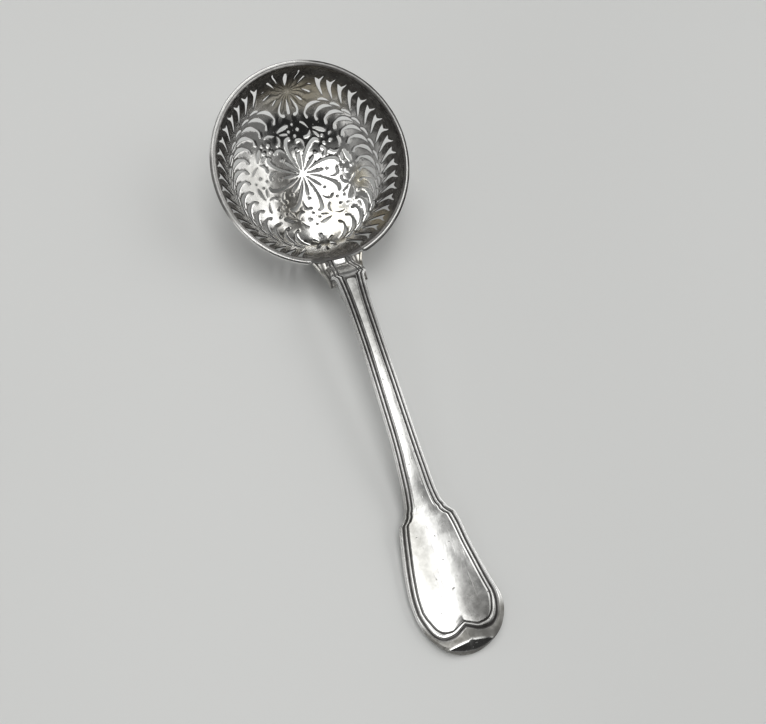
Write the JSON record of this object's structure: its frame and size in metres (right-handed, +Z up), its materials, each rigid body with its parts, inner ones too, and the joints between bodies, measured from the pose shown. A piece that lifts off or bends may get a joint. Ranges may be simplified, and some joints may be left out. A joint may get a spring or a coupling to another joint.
{
  "type": "pierced sifter spoon",
  "caption": "Pierced sugar sifter spoon: a round, deep bowl with scrollwork slots, tilted towards a threaded fiddle-pattern handle, in polished silver.",
  "frame": {"origin": "centre of the bounding box, on the table that the spoon lies on", "axes": "+X runs along the handle to its tip, +Y to the left seen from the bowl, +Z up from the table, with the bowl's mouth opening upwards and leaning to the handle"},
  "size_m": [0.2054, 0.0696, 0.0358],
  "materials": {
    "bowl_silver": "polished silver, finely scratched, darkened at the slots",
    "rim_silver": "polished silver",
    "handle_silver": "polished silver, worn, darkened in the threads",
    "joint_silver": "silver, tarnished round the solder seams"
  },
  "bodies": {
    "root": {"bowl": "bowl_silver", "rim_strip": "rim_silver", "handle": "handle_silver", "wing_plate": "joint_silver", "back_drop": "joint_silver"}
  },
  "joints": []
}
